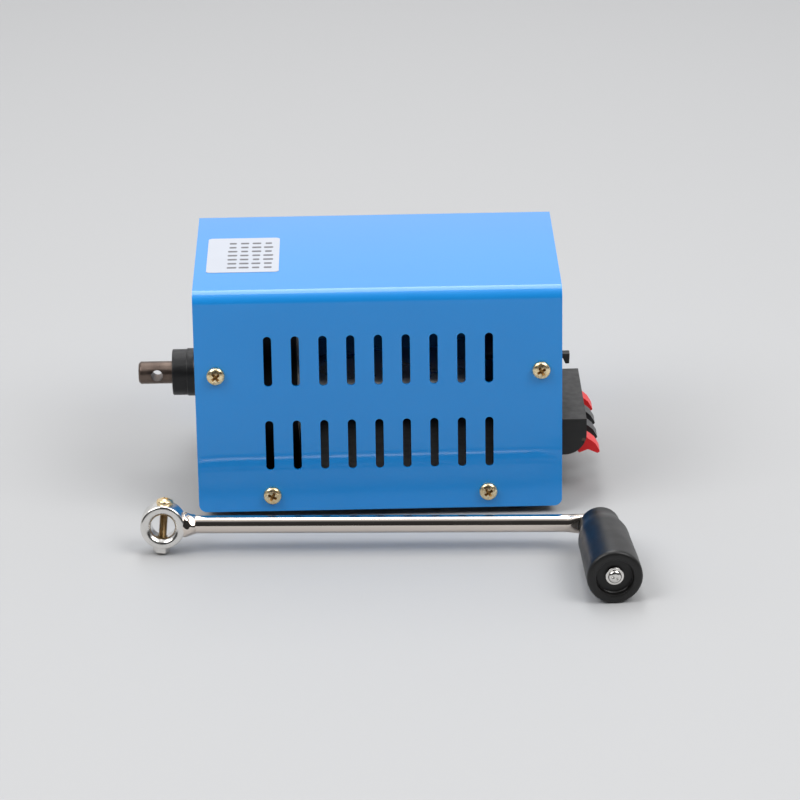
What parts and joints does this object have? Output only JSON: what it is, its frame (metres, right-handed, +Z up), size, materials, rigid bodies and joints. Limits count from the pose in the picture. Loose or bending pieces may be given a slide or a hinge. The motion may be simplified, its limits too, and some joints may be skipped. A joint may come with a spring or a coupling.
{
  "type": "hand crank generator",
  "caption": "Vented sheet metal box with a geared generator, a projecting crank shaft, push terminals and a slide switch, with its detached crank lying in front.",
  "frame": {"origin": "on the surface the feet stand on, under the middle of the case", "axes": "+X along the case from the crank shaft to the terminals, -Y the slotted front, +Z up"},
  "size_m": [0.1794, 0.1743, 0.0879],
  "materials": {
    "blue_paint": "gloss",
    "zinc_steel": "zinc plated, dull",
    "black_cast": "satin",
    "gold_screw": "yellow passivated zinc",
    "plain_screw": "bright zinc",
    "black_rubber": "matte",
    "label_film": "silver film",
    "black_plastic": "satin",
    "grip_plastic": "satin gloss",
    "lever_red": "gloss",
    "lever_black": "gloss",
    "shaft_steel": "dark, oiled",
    "gear_steel": "machined",
    "bronze": "sintered",
    "motor_steel": "plain",
    "ferrite": "matte",
    "copper": "enamelled copper",
    "brass": "satin",
    "carbon": "matte",
    "board_green": "solder mask",
    "cap_sleeve": "sleeve",
    "chip_epoxy": "matte",
    "ferrite_core": "matte",
    "black_aluminium": "black anodised",
    "wire_red": "gloss",
    "wire_black": "gloss",
    "chrome_rod": "polished",
    "zinc_bright": "bright zinc"
  },
  "bodies": {
    "case": {"cover": "blue_paint", "base_plate": "zinc_steel", "shaft_end_plate": "zinc_steel", "terminal_end_plate": "zinc_steel", "cover_screws": "gold_screw", "chassis_screws": "plain_screw", "rubber_feet": "black_rubber", "foot_screws": "plain_screw", "label": "label_film", "gearbox_front_plate": "gear_steel", "gearbox_rear_plate": "gear_steel", "gearbox_housing": "black_cast", "gearbox_screws": "plain_screw", "shaft_nose": "black_cast", "shaft_bush": "bronze", "countershaft_bushes": "bronze", "motor_can": "motor_steel", "motor_magnets": "ferrite", "motor_bushes": "bronze", "motor_end_bell": "black_plastic", "motor_brushes": "carbon", "brush_holders": "brass", "motor_screws": "plain_screw", "circuit_board": "board_green", "board_standoffs": "brass", "board_screws": "plain_screw", "smoothing_capacitor": "cap_sleeve", "bridge_rectifier": "chip_epoxy", "choke": "ferrite_core", "heat_sink": "black_aluminium", "terminal_body": "black_plastic", "lever_pin": "plain_screw", "end_plate_rivets": "plain_screw", "terminal_contacts": "brass", "switch_body": "black_plastic", "motor_lead_red": "wire_red", "motor_lead_black": "wire_black"},
    "drive_shaft": {"output_shaft": "shaft_steel", "output_gear": "gear_steel", "output_gear_pin": "plain_screw"},
    "idler": {"countershaft": "gear_steel", "cluster_gear": "gear_steel"},
    "rotor": {"motor_shaft": "gear_steel", "motor_pinion": "brass", "rotor_core": "motor_steel", "rotor_windings": "copper", "commutator": "copper"},
    "lever_1": {"terminal_lever_1": "lever_red"},
    "lever_2": {"terminal_lever_2": "lever_black"},
    "lever_3": {"terminal_lever_3": "lever_black"},
    "lever_4": {"terminal_lever_4": "lever_red"},
    "knob": {"switch_knob": "black_plastic"},
    "crank": {"crank_hub": "zinc_bright", "crank_rod": "chrome_rod", "crank_weld": "chrome_rod", "clamp_screw": "gold_screw", "clamp_nut": "zinc_bright", "grip_spindle": "zinc_bright", "spindle_washer": "zinc_bright"},
    "handle": {"grip": "grip_plastic"}
  },
  "joints": [
    {"name": "rotor_turns", "type": "hinge", "parent": "case", "child": "rotor", "pos_m": [0, 0, 0.0411], "axis": [1, 0, 0], "continuous": true},
    {"name": "idler_turns", "type": "hinge", "parent": "case", "child": "idler", "pos_m": [-0.045, 0, 0.0603], "axis": [1, 0, 0], "continuous": true},
    {"name": "crank_shaft_turns", "type": "hinge", "parent": "case", "child": "drive_shaft", "pos_m": [-0.068, 0, 0.0411], "axis": [1, 0, 0], "continuous": true},
    {"name": "switch_slides", "type": "slide", "parent": "case", "child": "knob", "axis": [0, 1, 0], "range_m": [0, 0.004]},
    {"name": "crank_lift", "type": "slide", "parent": "case", "child": "crank", "axis": [0, 0, 1], "range_m": [0, 0.12]},
    {"name": "grip_turns", "type": "hinge", "parent": "crank", "child": "handle", "pos_m": [0.07778, -0.07797, 0.00986], "axis": [-0.0523, 0.9986, 0.0003], "continuous": true},
    {"name": "lever_1_presses", "type": "hinge", "parent": "case", "child": "lever_1", "pos_m": [0.0756, 0.0213, 0.0212], "axis": [0, 1, 0], "range_deg": [0, 15], "stiffness_Nm_per_rad": 0.02, "springref_deg": -11.46},
    {"name": "lever_2_presses", "type": "hinge", "parent": "case", "child": "lever_2", "pos_m": [0.0756, 0.0071, 0.0212], "axis": [0, 1, 0], "range_deg": [0, 15], "stiffness_Nm_per_rad": 0.02, "springref_deg": -11.46},
    {"name": "lever_3_presses", "type": "hinge", "parent": "case", "child": "lever_3", "pos_m": [0.0756, -0.0071, 0.0212], "axis": [0, 1, 0], "range_deg": [0, 15], "stiffness_Nm_per_rad": 0.02, "springref_deg": -11.46},
    {"name": "lever_4_presses", "type": "hinge", "parent": "case", "child": "lever_4", "pos_m": [0.0756, -0.0213, 0.0212], "axis": [0, 1, 0], "range_deg": [0, 15], "stiffness_Nm_per_rad": 0.02, "springref_deg": -11.46}
  ],
  "couplings": [
    {"joint": "idler_turns", "follows": "rotor_turns", "ratio": -0.23077},
    {"joint": "crank_shaft_turns", "follows": "rotor_turns", "ratio": 0.053254}
  ]
}
